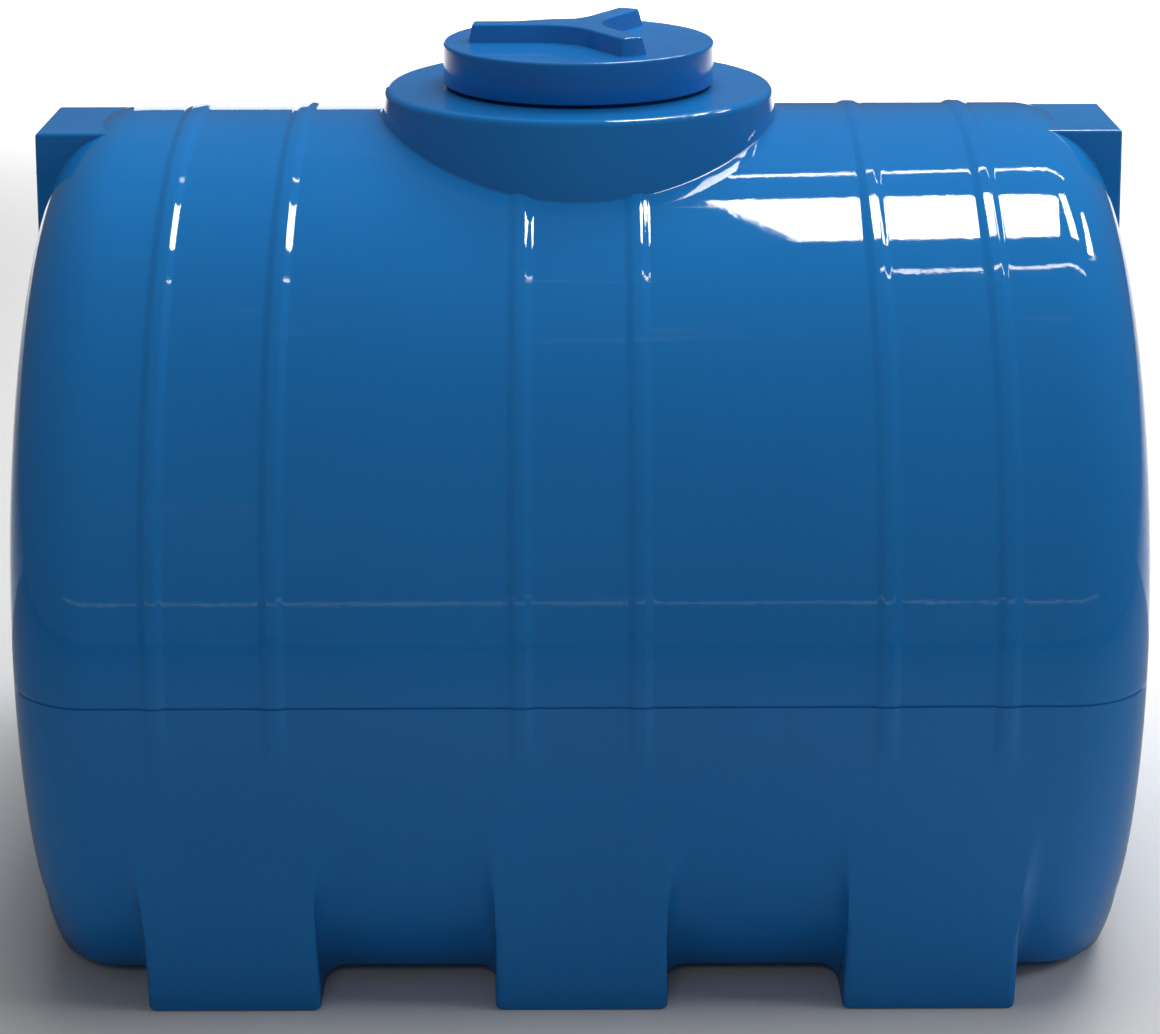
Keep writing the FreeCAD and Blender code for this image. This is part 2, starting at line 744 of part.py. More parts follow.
def make_ball():
    """A drilled ball, standing shut, with a slot on top for the stem's tang."""
    ball = place(primitive("Sphere", "ball_blank", Radius="ball_radius"), STEM_X, BALL_Y, FLOW_Z)
    drill = primitive("Cylinder", "ball_drill", Radius="ball_bore", Height="tool_reach")
    place(drill, STEM_X - length("tool_reach") / 2, BALL_Y, FLOW_Z, UP_TO_RIGHT)
    bored = boolean("Cut", "ball_bored", ball, drill)
    slot = primitive("Box", "ball_slot", Length="slot_width",
                     Width=length("ball_radius") * 2, Height="ball_radius")
    place(slot, STEM_X - length("slot_width") / 2, BALL_Y - "ball_radius",
          FLOW_Z + "ball_radius" - "slot_depth")
    return boolean("Cut", "valve_ball", bored, slot)


def make_stem():
    """A stem with a tang in the ball's slot below and a reduced tip for the lever above."""
    foot = FLOW_Z + "ball_radius" + "tang_lift"
    shoulder = FLOW_Z + "lever_level"
    tip = shoulder + "lever_thickness" + "lever_nut_height"
    shaft = primitive("Cylinder", "stem_shaft", Radius="stem_radius", Height=shoulder - foot)
    place(shaft, STEM_X, BALL_Y, foot)
    end = primitive("Cylinder", "stem_end", Radius="stem_tip_radius", Height=tip - shoulder)
    place(end, STEM_X, BALL_Y, shoulder)
    half_width = length("slot_width") / 2 - "tang_clearance"
    tang = primitive("Box", "stem_tang", Length=half_width * 2,
                     Width=length("tang_half_length") * 2, Height=length("slot_depth") + "tang_clearance")
    place(tang, STEM_X - half_width, BALL_Y - "tang_half_length", foot - "slot_depth")
    upper = boolean("Fuse", "stem_upper", shaft, end)
    return boolean("Fuse", "valve_stem", upper, tang)


def make_lever():
    """A flat lever: a round eye on the stem and a straight arm towards -X."""
    body = new_body("valve_lever")
    eye = circle(new_sketch(body, "eye_plan", "XY_Plane"), 0, 0, "lever_hub_radius")
    extrude(body, "eye", "Pad", eye, "lever_thickness")
    arm = rectangle(new_sketch(body, "arm_plan", "XY_Plane"), -length("lever_length"),
                    -length("lever_half_width"), 0, "lever_half_width")
    extrude(body, "arm", "Pad", arm, "lever_thickness")
    hole = circle(new_sketch(body, "hole_plan", "XY_Plane"), 0, 0, tip_bore)
    extrude(body, "hole", "Pocket", hole, "lever_thickness", backwards=True)
    return place(body, STEM_X, BALL_Y, FLOW_Z + "lever_level")


def make_lever_grip():
    """A soft sleeve pushed over the lever's arm."""
    body = new_body("lever_grip")
    half = length("grip_wrap_half_width")
    reach = length("lever_length") + "grip_wrap_rounding"
    plan = rectangle(new_sketch(body, "sleeve_plan", "YZ_Plane", -reach),
                     -half, 0, half, "grip_wrap_thickness")
    extrude(body, "sleeve", "Pad", plan, reach - "grip_start")
    round_edges(body, "sleeve_rounding", "grip_wrap_rounding", lambda edge: True)
    rise = (length("grip_wrap_thickness") - "lever_thickness") / 2
    socket = rectangle(new_sketch(body, "socket_plan", "YZ_Plane", -length("lever_length")),
                       -length("lever_half_width"), rise, "lever_half_width", rise + "lever_thickness")
    extrude(body, "socket", "Pocket", socket, length("lever_length"), backwards=True)
    return place(body, STEM_X, BALL_Y, FLOW_Z + "lever_level" - rise)


def upright(item, height):
    """Stands a turned part on the stem's axis, above the flow axis."""
    return place(item, STEM_X, BALL_Y, FLOW_Z + height)


gland_floor = length("boss_height") - "gland_depth"
clear_bore = length("stem_radius") + "stem_clearance"
nodes += [
    at_outlet(make_valve_body(), length("valve_face")),
    at_outlet(make_end_cap(), length("valve_face") + "valve_length"),
    at_outlet(make_seat("valve_seat_inner", 1), length("valve_face") + "chamber_start"),
    at_outlet(make_seat("valve_seat_outer", -1),
              length("valve_face") + "chamber_end" - "seat_length"),
    make_ball(),
    make_stem(),
    upright(ring("stem_seal", clear_bore, length("gland_radius") - "press_clearance", "stem_seal_height"),
            gland_floor),
    upright(nut("packing_nut", "packing_flats", clear_bore, "packing_height"), "boss_height"),
    make_lever(),
    make_lever_grip(),
    upright(nut("lever_nut", "lever_nut_flats", tip_bore, "lever_nut_height"),
            length("lever_level") + "lever_thickness")]

# ---- checks and export ----

doc.recompute()
broken = [item.Name for item in doc.Objects if "Invalid" in item.State or "Error" in item.State]
broken += [node.Label for node in nodes if node.Shape.isNull() or not node.Shape.isValid()]
if broken:
    raise RuntimeError(f"objects that did not build: {broken}")
os.makedirs("parts", exist_ok=True)
for node in nodes:
    node.Shape.exportStep(f"parts/{node.Label}.step")
    print(f"{node.Label}: {node.Shape.Volume / 1000:.1f} cm3 in {len(node.Shape.Solids)} solid")
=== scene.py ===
"""The looks of a horizontal stock water tank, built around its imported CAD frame, in metres."""
import json
import logging
import math
from dataclasses import dataclass, field
from enum import Enum
from typing import Any, Iterable, Sequence

import bpy
from mathutils import Euler, Matrix, Vector


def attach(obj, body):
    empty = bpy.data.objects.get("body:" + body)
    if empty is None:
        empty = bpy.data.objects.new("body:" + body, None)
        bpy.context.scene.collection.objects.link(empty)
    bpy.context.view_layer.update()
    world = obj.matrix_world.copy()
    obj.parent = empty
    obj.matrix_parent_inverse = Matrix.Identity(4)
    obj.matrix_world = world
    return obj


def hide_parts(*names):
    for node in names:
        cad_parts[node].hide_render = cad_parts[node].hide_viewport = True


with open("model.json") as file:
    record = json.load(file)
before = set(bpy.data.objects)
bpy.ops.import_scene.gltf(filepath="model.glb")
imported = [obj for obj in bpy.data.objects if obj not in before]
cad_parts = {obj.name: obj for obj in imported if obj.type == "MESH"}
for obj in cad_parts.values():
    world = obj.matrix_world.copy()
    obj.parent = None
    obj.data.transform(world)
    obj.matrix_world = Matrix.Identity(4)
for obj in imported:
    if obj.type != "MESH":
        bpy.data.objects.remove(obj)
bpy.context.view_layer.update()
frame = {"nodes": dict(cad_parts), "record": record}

MM = 0.001
FLAT = 1 * MM
PANE_LEVEL = 3.8
log = logging.getLogger("stock_tank")

Point = tuple[float, float, float]
Profile = list[tuple[float, float]]
Colour = tuple[float, float, float, float]


# ---- node trees

class Value:
    """A socket that can be used in Python expressions: each operator adds its Math node."""

    def __init__(self, nodes: "NodeBuilder", socket: Any) -> None:
        """Wraps one output socket of a tree."""
        self.nodes = nodes
        self.socket = socket

    def __add__(self, other: Any) -> "Value":
        """self + other."""
        return self.nodes.math("ADD", self, other)

    def __sub__(self, other: Any) -> "Value":
        """self - other."""
        return self.nodes.math("SUBTRACT", self, other)

    def __mul__(self, other: Any) -> "Value":
        """self * other."""
        return self.nodes.math("MULTIPLY", self, other)

    def __truediv__(self, other: Any) -> "Value":
        """self / other."""
        return self.nodes.math("DIVIDE", self, other)

    def __gt__(self, other: Any) -> "Value":
        """1 where self is greater than other, else 0."""
        return self.nodes.math("GREATER_THAN", self, other)

    def __neg__(self) -> "Value":
        """-self."""
        return self.nodes.math("MULTIPLY", self, -1.0)

    def __abs__(self) -> "Value":
        """The size of self without its sign."""
        return self.nodes.math("ABSOLUTE", self)

    def __rsub__(self, other: Any) -> "Value":
        """other - self."""
        return self.nodes.math("SUBTRACT", other, self)

    def __rtruediv__(self, other: Any) -> "Value":
        """other / self."""
        return self.nodes.math("DIVIDE", other, self)

    __radd__ = __add__
    __rmul__ = __mul__


class NodeBuilder:
    """Adds nodes to one tree, for materials and for geometry alike."""

    def __init__(self, tree: bpy.types.NodeTree) -> None:
        """Starts building in a tree."""
        self.tree = tree

    def add(self, kind: str, settings: dict[str, Any] | None = None,
            **inputs: Any) -> bpy.types.Node:
        """Adds a node of any type.

        Args:
            kind: The node's type, such as ShaderNodeTexNoise.
            settings: Properties that are set before its sockets, such as an operation.
            **inputs: A value or a link for each socket, by its name with underscores for spaces.

        Returns:
            The new node.
        """
        node = self.tree.nodes.new(kind)
        for name, setting in (settings or {}).items():
            setattr(node, name, setting)
        for name, item in inputs.items():
            self.feed(node.inputs[name.replace("_", " ")], item)
        return node

    def feed(self, socket: Any, item: Any) -> None:
        """Links a wrapped or plain socket to an input, or sets the input's value.

        Args:
            socket: The input socket.
            item: A wrapped socket, a plain socket or a value.
        """
        if isinstance(item, Value):
            self.tree.links.new(item.socket, socket)
        elif isinstance(item, bpy.types.NodeSocket):
            self.tree.links.new(item, socket)
        else:
            socket.default_value = item

    def math(self, operation: str, *terms: Any) -> Value:
        """One Math node on values or numbers.

        Args:
            operation: The node's operation.
            *terms: What goes into its sockets, in order.

        Returns:
            The node's result.
        """
        node = self.add("ShaderNodeMath", {"operation": operation})
        for socket, term in zip(node.inputs, terms):
            self.feed(socket, term)
        return Value(self, node.outputs[0])

    def ramp(self, item: Value, low: float, high: float, start: float = 0.0,
             end: float = 1.0) -> Value:
        """A smooth step of a value.

        Args:
            item: The value.
            low: Where the step begins.
            high: Where the step ends.
            start: The result below low.
            end: The result above high.

        Returns:
            The stepped value.
        """
        node = self.add("ShaderNodeMapRange", {"interpolation_type": "SMOOTHSTEP"})
        for socket, term in zip(node.inputs, (item, low, high, start, end)):
            self.feed(socket, term)
        return Value(self, node.outputs[0])

    def blend(self, factor: Any, first: Any, second: Any) -> Any:
        """A colour mixed from two.

        Args:
            factor: The second colour's share.
            first: The colour at a share of nought.
            second: The colour at a share of one.

        Returns:
            The mixed colour's socket.
        """
        node = self.add("ShaderNodeMix", {"data_type": "RGBA"})
        for index, item in ((0, factor), (6, first), (7, second)):
            self.feed(node.inputs[index], item)
        return node.outputs[2]


# ---- finishes

class Pattern(Enum):
    """How a finish's surface varies close up."""

    ORANGE_PEEL = "orange_peel"
    MOULDED = "moulded"
    TURNED = "turned"
    PLATED = "plated"


@dataclass(frozen=True)
class Finish:
    """One material: its colours, its gloss and the pattern of its surface.

    Args:
        name: The record's material slot that it belongs to.
        colour: Main colour.
        shade: Colour of the slightly darker or duller patches.
        roughness: Lowest and highest roughness over the surface.
        pattern: What its bump looks like.
        grain: Size of the bump's pattern, in metres.
        relief: Height of the bump, in metres.
        metallic: 1 on bare metal.
        coat: Weight of a clear glossy skin.
        dust: How much pale dust lies on surfaces that face up.
    """

    name: str
    colour: Colour
    shade: Colour
    roughness: tuple[float, float]
    pattern: Pattern
    grain: float
    relief: float
    metallic: float = 0.0
    coat: float = 0.0
    dust: float = 0.0

    def build(self) -> bpy.types.Material:
        """Makes the node material.

        Returns:
            The material, named after its slot.
        """
        material = bpy.data.materials.new(self.name)
        material.use_nodes = True
        tree = material.node_tree
        tree.nodes.clear()
        nodes = NodeBuilder(tree)
        place = nodes.add("ShaderNodeTexCoord").outputs["Object"]
        patches = self.noise(nodes, place, 2.3, 3.0)
        cloud = nodes.ramp(patches, 0.35, 0.65)
        fine = self.noise(nodes, place, 1.0 / self.grain, 4.0)
        colour = nodes.blend(cloud * 0.7 + fine * 0.3, self.colour, self.shade)
        rough = self.roughness[0] + (self.roughness[1] - self.roughness[0]) * (
            nodes.ramp(self.noise(nodes, place, 9.0, 5.0), 0.4, 0.75))
        scuff = nodes.ramp(self.scratches(nodes, place), 0.64, 0.72)
        rough = rough + scuff * 0.12
        if self.dust > 0:
            colour, rough = self.settle_dust(nodes, place, colour, rough)
        height = self.height(nodes, place, fine)
        bump = nodes.add("ShaderNodeBump", Strength=1.0, Distance=self.relief, Height=height)
        shader = nodes.add("ShaderNodeBsdfPrincipled", Base_Color=colour, Roughness=rough,
                           Metallic=self.metallic, Coat_Weight=self.coat, Coat_Roughness=0.04,
                           Normal=bump.outputs[0])
        nodes.add("ShaderNodeOutputMaterial", Surface=shader.outputs[0])
        return material

    def noise(self, nodes: NodeBuilder, place: Any, scale: float, detail: float) -> Value:
        """Plain noise on a coordinate."""
        node = nodes.add("ShaderNodeTexNoise", Vector=place, Scale=scale, Detail=detail)
        return Value(nodes, node.outputs[0])

    def scratches(self, nodes: NodeBuilder, place: Any) -> Value:
        """Noise drawn out along X, as handling marks are."""
        stretched = nodes.add("ShaderNodeMapping", Vector=place, Scale=(3.0, 40.0, 90.0),
                              Rotation=(0.3, 0.2, 0.5))
        return self.noise(nodes, stretched.outputs[0], 1.0, 2.0)

    def settle_dust(self, nodes: NodeBuilder, place: Any, colour: Any,
                    rough: Value) -> tuple[Any, Value]:
        """Adds pale dust on faces that look up.

        Args:
            nodes: The material's tree.
            place: The coordinate that the dust's patches follow.
            colour: The clean colour.
            rough: The clean roughness.

        Returns:
            The dusty colour and roughness.
        """
        normal = nodes.add("ShaderNodeNewGeometry").outputs["Normal"]
        up = Value(nodes, nodes.add("ShaderNodeSeparateXYZ", Vector=normal).outputs["Z"])
        drift = nodes.ramp(self.noise(nodes, place, 14.0, 6.0), 0.4, 0.7)
        layer = nodes.ramp(up, 0.75, 1.0) * drift * self.dust
        return nodes.blend(layer, colour, (0.42, 0.44, 0.46, 1.0)), rough + layer * 0.5

    def height(self, nodes: NodeBuilder, place: Any, fine: Value) -> Value:
        """The bump's height for this finish's pattern.

        Args:
            nodes: The material's tree.
            place: The coordinate that the pattern follows.
            fine: The finish's fine noise.

        Returns:
            The height, as a share of the relief.
        """
        if self.pattern is Pattern.ORANGE_PEEL:
            return fine * 0.7 + self.noise(nodes, place, 0.25 / self.grain, 2.0) * 1.6
        if self.pattern is Pattern.TURNED:
            wave = nodes.add("ShaderNodeTexWave", {"bands_direction": "Z", "wave_type": "BANDS"},
                             Vector=place, Scale=1.0 / self.grain, Distortion=1.5)
            return Value(nodes, wave.outputs["Fac"]) * 0.5 + fine * 0.5
        if self.pattern is Pattern.PLATED:
            return fine * 0.6 + self.scratches(nodes, place) * 0.4
        return fine


BLUE = Finish("blue_polyethylene", (0.012, 0.198, 0.560, 1), (0.011, 0.182, 0.525, 1), (0.02, 0.04),
              Pattern.ORANGE_PEEL, 0.004, 0.00003, coat=0.15, dust=0.01)
LID_BLUE = Finish("lid_polyethylene", (0.012, 0.195, 0.570, 1), (0.010, 0.175, 0.525, 1), (0.16, 0.24),
                  Pattern.MOULDED, 0.003, 0.00006, coat=0.15, dust=0.03)
FINISHES = [
    BLUE, LID_BLUE,
    Finish("black_rubber", (0.018, 0.018, 0.019, 1), (0.030, 0.030, 0.031, 1), (0.6, 0.8),
           Pattern.MOULDED, 0.0009, 0.00006),
    Finish("black_polypropylene", (0.022, 0.022, 0.024, 1), (0.034, 0.034, 0.036, 1), (0.38, 0.52),
           Pattern.MOULDED, 0.0012, 0.00006, dust=0.05),
    Finish("brass", (0.62, 0.42, 0.16, 1), (0.48, 0.31, 0.12, 1), (0.24, 0.38),
           Pattern.TURNED, 0.0016, 0.00003, metallic=1.0),
    Finish("nickel_brass", (0.62, 0.60, 0.55, 1), (0.50, 0.48, 0.43, 1), (0.24, 0.36),
           Pattern.PLATED, 0.0012, 0.00004, metallic=1.0),
    Finish("polished_steel", (0.70, 0.70, 0.72, 1), (0.62, 0.62, 0.64, 1), (0.05, 0.10),
           Pattern.PLATED, 0.001, 0.00001, metallic=1.0),
    Finish("zinc_steel", (0.56, 0.58, 0.60, 1), (0.44, 0.46, 0.48, 1), (0.30, 0.45),
           Pattern.PLATED, 0.0014, 0.00004, metallic=1.0),
    Finish("white_seal", (0.78, 0.78, 0.75, 1), (0.70, 0.70, 0.67, 1), (0.35, 0.5),
           Pattern.MOULDED, 0.001, 0.00003),
    Finish("lever_vinyl", (0.30, 0.012, 0.010, 1), (0.22, 0.010, 0.010, 1), (0.35, 0.5),
           Pattern.MOULDED, 0.0014, 0.00008),
]


# ---- mesh helpers

def mesh_object(name: str, points: Sequence[Point], faces: Sequence[Sequence[int]],
                material: bpy.types.Material, smooth_angle: float = 35.0) -> bpy.types.Object:
    """Makes an object from points and faces, shaded smooth up to an angle.

    Args:
        name: The object's and mesh's name.
        points: Vertices in metres, in the frame.
        faces: Vertex indices of each face, outward by the right-hand rule.
        material: Its material.
        smooth_angle: Edges sharper than this many degrees stay sharp.

    Returns:
        The new object, at the origin.
    """
    mesh = bpy.data.meshes.new(name)
    mesh.from_pydata(points, [], faces)
    mesh.update()
    mesh.materials.append(material)
    piece = bpy.data.objects.new(name, mesh)
    bpy.context.scene.collection.objects.link(piece)
    mesh.shade_smooth()
    mesh.set_sharp_from_angle(angle=math.radians(smooth_angle))
    return piece


def arc(centre: tuple[float, float], radius: float, start: float, end: float,
        steps: int) -> Profile:
    """Points along an arc, angles in degrees, both ends included."""
    turns = [math.radians(start + (end - start) * i / steps) for i in range(steps + 1)]
    return [(centre[0] + radius * math.cos(t), centre[1] + radius * math.sin(t)) for t in turns]


def loft(rings: Sequence[Sequence[Point]], closed_path: bool = False,
         capped: bool = True) -> tuple[list[Point], list[tuple[int, ...]]]:
    """Joins rings of points into one skin.

    Args:
        rings: Rings with the same number of points, each closed on itself.
        closed_path: Whether the last ring joins the first.
        capped: Whether the two ends are closed with a face each.

    Returns:
        Points and faces.
    """
    count = len(rings[0])
    points = [point for ring in rings for point in ring]
    faces: list[tuple[int, ...]] = []
    spans = len(rings) if closed_path else len(rings) - 1
    for row in range(spans):
        here = row * count
        there = ((row + 1) % len(rings)) * count
        for i in range(count):
            j = (i + 1) % count
            faces.append((here + i, here + j, there + j, there + i))
    if capped and not closed_path:
        faces.append(tuple(reversed(range(count))))
        faces.append(tuple(range((len(rings) - 1) * count, len(rings) * count)))
    return points, faces


def joined(name: str, pieces: Sequence[bpy.types.Object]) -> bpy.types.Object:
    """Makes one object of several.

    Args:
        name: The object's and mesh's name.
        pieces: The objects, which become one.

    Returns:
        The joined object.
    """
    with bpy.context.temp_override(active_object=pieces[0], selected_editable_objects=list(pieces)):
        bpy.ops.object.join()
    pieces[0].name = name
    pieces[0].data.name = name
    return pieces[0]


def helix_ridge(name: str, radius: float, outward: float, start_height: float, start_turn: float,
                thread: "Thread", material: bpy.types.Material) -> bpy.types.Object:
    """A thread's ridge: a trapezoid swept round the upright axis, with run-outs at both ends.

    Args:
        name: The object's name.
        radius: Radius of the wall that it stands on.
        outward: 1 on the outside of a wall and -1 on the inside.
        start_height: Height of its first end.
        start_turn: Turn of its first end, in radians.
        thread: The thread's sizes.
        material: Its material.

    Returns:
        The ridge.
    """
    sweep = 2 * math.pi * thread.length / thread.pitch
    rings = []
    for i in range(thread.spans + 1):
        share = i / thread.spans
        turn = start_turn + sweep * share
        fade = min(1.0, share / thread.run_out, (1 - share) / thread.run_out)
        crest = radius + outward * thread.depth * max(fade, thread.tip)
        root = radius - outward * thread.buried
        height = start_height + thread.length * share
        section = [(root, -thread.base / 2), (crest, -thread.crest / 2),
                   (crest, thread.crest / 2), (root, thread.base / 2)]
        if outward < 0:
            section.reverse()
        rings.append([(r * math.cos(turn), r * math.sin(turn), height + h) for r, h in section])
    points, faces = loft([list(reversed(ring)) for ring in rings])
    return mesh_object(name, points, faces, material, 30)


# ---- barrel

BAY_COLUMNS = (0, 15, 30, 43, 82)
RIB_COLUMNS = (-15, -13.6, -12.4, -11, -8.5, -6.2, -4.8, -3.4, 0,
               3.4, 4.8, 6.2, 8.5, 11, 12.4, 13.6, 15)
GAP_SPANS = 29
CORNER_SPANS = 26
CROWN_SPANS = 22
POLE_RADIUS = 0.4 * MM
COLUMN_MARKS = ("along", "rho", "foot", "rib", "sway")
ROW_MARKS = ("turn", "seam")
TREE_SIZES = ("axis_height", "radius", "belly_depth", "belly_rounding", "rib_half_width",
              "rib_height", "rib_flank", "foot_front", "foot_slope", "foot_draft",
              "foot_rounding", "wall_root", "wall_edge", "seam_height", "seam_depth",
              "pad_across", "pad_drop", "pad_radius", "pad_face")


@dataclass
class Barrel:
    """The tank's blown skin: a domed barrel with ribs, a flat belly, three saddle feet and a pad.

    The skin is one sheet of columns along the barrel and rows round it. A geometry tree rolls the
    sheet up: each column knows its place along the axis and the barrel's radius there, and each
    row its turn from the top.
    """

    radius: float = 540 * MM
    axis_height: float = 364 * MM
    straight_half: float = 512 * MM
    half_length: float = 653 * MM
    corner_radius: float = 93 * MM
    belly_depth: float = 348 * MM
    belly_rounding: float = 8 * MM
    bay_spacing: float = 382 * MM
    rib_offset: float = 62.5 * MM
    rib_half_width: float = 13 * MM
    rib_height: float = 3 * MM
    rib_flank: float = 0.62
    foot_half_width: float = 94.7 * MM
    foot_draft: float = -0.0086
    foot_front: float = 488 * MM
    foot_slope: float = 0.1567
    foot_rounding: float = 8 * MM
    wall_root: float = 22 * MM
    wall_edge: float = 8 * MM
    seam_height: float = 19 * MM
    seam_depth: float = 1.8 * MM
    pad_across: float = 191 * MM
    pad_drop: float = 288 * MM
    pad_radius: float = 50 * MM
    pad_face: float = 462 * MM
    pad_edge: float = 9 * MM
    rib_fade: tuple[float, float] = (91, 97)
    foot_fade: tuple[float, float] = (98.5, 105)
    draft_fade: tuple[float, float] = (0.22, 0.32)
    sharp_angle: float = 50

    def seam_turn(self) -> float:
        """The seam's turn from the top on the straight barrel, in radians."""
        return math.acos(self.seam_height / self.radius)

    def columns(self) -> list[dict[str, float]]:
        """One entry for each column of the sheet, from the middle of the barrel to the pole.

        Returns:
            Place along the axis, barrel radius, distance inside the nearest foot's wall, distance
            from the nearest rib and share of the foot's draft, for the half at +X.
        """
        places: list[tuple[float, float]] = []
        for bay in (0, 1):
            middle = self.bay_spacing * bay
            inside = [step * MM for step in BAY_COLUMNS]
            inside += [self.rib_offset + step * MM for step in RIB_COLUMNS]
            for offset in inside:
                places += [(middle + offset, 0), (middle - offset, 0)]
            for angle in range(0, 91, 10):
                root = self.wall_root * (1 - math.cos(math.radians(angle)))
                for side in (-1, 1):
                    places.append((middle + side * (self.foot_half_width + root), -1))
            for angle in range(0, 91, 15):
                edge = self.wall_edge * (1 - math.cos(math.radians(angle)))
                for side in (-1, 1):
                    places.append((middle + side * (self.foot_half_width - edge), 1))
        gap_start = self.foot_half_width + self.wall_root
        gap = self.bay_spacing - 2 * gap_start
        places += [(gap_start + gap * i / GAP_SPANS, 0) for i in range(1, GAP_SPANS)]
        found = sorted({(round(x, 6), sign) for x, sign in places if x >= -1e-9})
        half = self.foot_half_width
        result = []
        for x, sign in found:
            if x > self.straight_half + 0.5 * MM:
                continue
            bay = round(x / self.bay_spacing)
            local = x - bay * self.bay_spacing
            inner = half - abs(local)
            if abs(inner) < 1e-5:
                inner = 1e-6 * (sign or 1)
            result.append({"along": x, "rho": self.radius, "foot": inner,
                           "rib": abs(abs(local) - self.rib_offset), "sway": self.sway(x)})
        return result + self.dome_columns()

    def sway(self, x: float) -> float:
        """How far a column follows the foot walls' draft.

        Args:
            x: The column's place along the barrel.

        Returns:
            1 or -1 at a wall, fading to 0 half way between two walls.
        """
        half, bay = self.foot_half_width, self.bay_spacing
        end = self.straight_half + self.corner_radius * 0.6
        knots = [(0.0, 0.0), (half, 1.0), (bay / 2, 0.0), (bay - half, -1.0), (bay, 0.0),
                 (bay + half, 1.0), (end, 0.0)]
        for (x0, y0), (x1, y1) in zip(knots, knots[1:]):
            if x0 <= x <= x1:
                return y0 + (y1 - y0) * (x - x0) / (x1 - x0)
        return 0.0

    def dome_columns(self) -> list[dict[str, float]]:
        """The columns of the rounded end: a corner arc, then a shallow crown to the pole.

        Returns:
            Entries such as columns() gives.
        """
        extra = self.half_length - self.straight_half
        rise = self.radius - self.corner_radius
        corner = self.corner_radius
        crown = (extra ** 2 + rise ** 2 - corner ** 2) / (2 * (extra - corner))
        crown_centre = self.half_length - crown
        meet = math.atan2(rise, self.straight_half - crown_centre)
        line = []
        for i in range(1, CORNER_SPANS + 1):
            turn = math.pi / 2 + (meet - math.pi / 2) * i / CORNER_SPANS
            line.append((self.straight_half + corner * math.cos(turn),
                         rise + corner * math.sin(turn)))
        for i in range(1, CROWN_SPANS):
            turn = meet * (1 - i / CROWN_SPANS)
            line.append((crown_centre + crown * math.cos(turn), crown * math.sin(turn)))
        line.append((self.half_length, POLE_RADIUS))
        outer_wall = self.bay_spacing + self.foot_half_width
        return [{"along": x, "rho": rho, "foot": min(outer_wall - x, -1e-6), "rib": 1.0,
                 "sway": self.sway(x)} for x, rho in line]

    def rows(self) -> list[tuple[float, float]]:
        """The rows round the barrel, close together where its section bends.

        Returns:
            Each row's turn from the top in radians and its share of the seam's groove.
        """
        half: list[tuple[float, float]] = []

        def run(start: float, end: float, step: float) -> None:
            """Adds evenly spaced turns, in degrees, from start up to but without end."""
            count = max(1, round((end - start) / step))
            half.extend((start + (end - start) * i / count, 0.0) for i in range(count))

        seam = math.degrees(self.seam_turn())
        run(0, seam - 2, 2.3)
        half.extend([(seam - 2, 0.0), (seam - 0.5, 0.0), (seam - 0.17, 0.0), (seam - 0.05, 1.0),
                     (seam + 0.05, 1.0), (seam + 0.17, 0.0), (seam + 0.5, 0.0)])
        for start, end, step in ((seam + 1.5, 101, 1.3), (101, 116, 1.0), (116, 125.9, 0.7),
                                 (125.9, 127.5, 0.16), (127.5, 129.3, 0.6), (129.3, 130.9, 0.16),
                                 (130.9, 140, 1.1), (140, 180, 2.5)):
            run(start, end, step)
        turns = half + [(180.0, 0.0)] + [(360.0 - turn, mark) for turn, mark in reversed(half[1:])]
        return [(math.radians(turn), mark) for turn, mark in turns]

    def sheet(self) -> bpy.types.Object:
        """The flat sheet with its attributes, closed into a tube and capped at the poles.

        Returns:
            The sheet, with the columns along X and the rows along Y.
        """
        right = self.columns()
        left = [dict(column, along=-column["along"], sway=-column["sway"])
                for column in reversed(right) if column["along"] > 1e-9]
        columns = left + right
        rows = self.rows()
        points, faces = loft([[(column["along"], turn, 0.0) for turn, _ in rows]
                              for column in columns])
        mesh = bpy.data.meshes.new("barrel_sheet")
        mesh.from_pydata(points, [], faces)
        for name in COLUMN_MARKS:
            layer = mesh.attributes.new(name, "FLOAT", "POINT")
            layer.data.foreach_set("value", [column[name] for column in columns for _ in rows])
        for index, name in enumerate(ROW_MARKS):
            layer = mesh.attributes.new(name, "FLOAT", "POINT")
            layer.data.foreach_set("value", [row[index] for _ in columns for row in rows])
        sheet = bpy.data.objects.new("tank_barrel", mesh)
        bpy.context.scene.collection.objects.link(sheet)
        return sheet

    def inputs(self) -> dict[str, float]:
        """The geometry tree's inputs, each named after its field."""
        return {name.replace("_", " ").title(): getattr(self, name) for name in TREE_SIZES}

    def tree(self, material: bpy.types.Material) -> bpy.types.NodeTree:
        """The geometry tree that rolls the sheet up into the barrel.

        Args:
            material: The barrel's material.

        Returns:
            The tree, with a named input for each of the barrel's sizes.
        """
        tree = bpy.data.node_groups.new("roll_barrel", "GeometryNodeTree")
        tree.interface.new_socket("Geometry", in_out="INPUT", socket_type="NodeSocketGeometry")
        tree.interface.new_socket("Geometry", in_out="OUTPUT", socket_type="NodeSocketGeometry")
        for name in self.inputs():
            tree.interface.new_socket(name, in_out="INPUT", socket_type="NodeSocketFloat")
        nodes = NodeBuilder(tree)
        group = nodes.add("NodeGroupInput")

        def size(name: str) -> Value:
            """A named input of the tree."""
            return Value(nodes, group.outputs[name])

        def mark(name: str) -> Value:
            """A named attribute of the sheet."""
            node = nodes.add("GeometryNodeInputNamedAttribute", {"data_type": "FLOAT"}, Name=name)
            return Value(nodes, node.outputs["Attribute"])

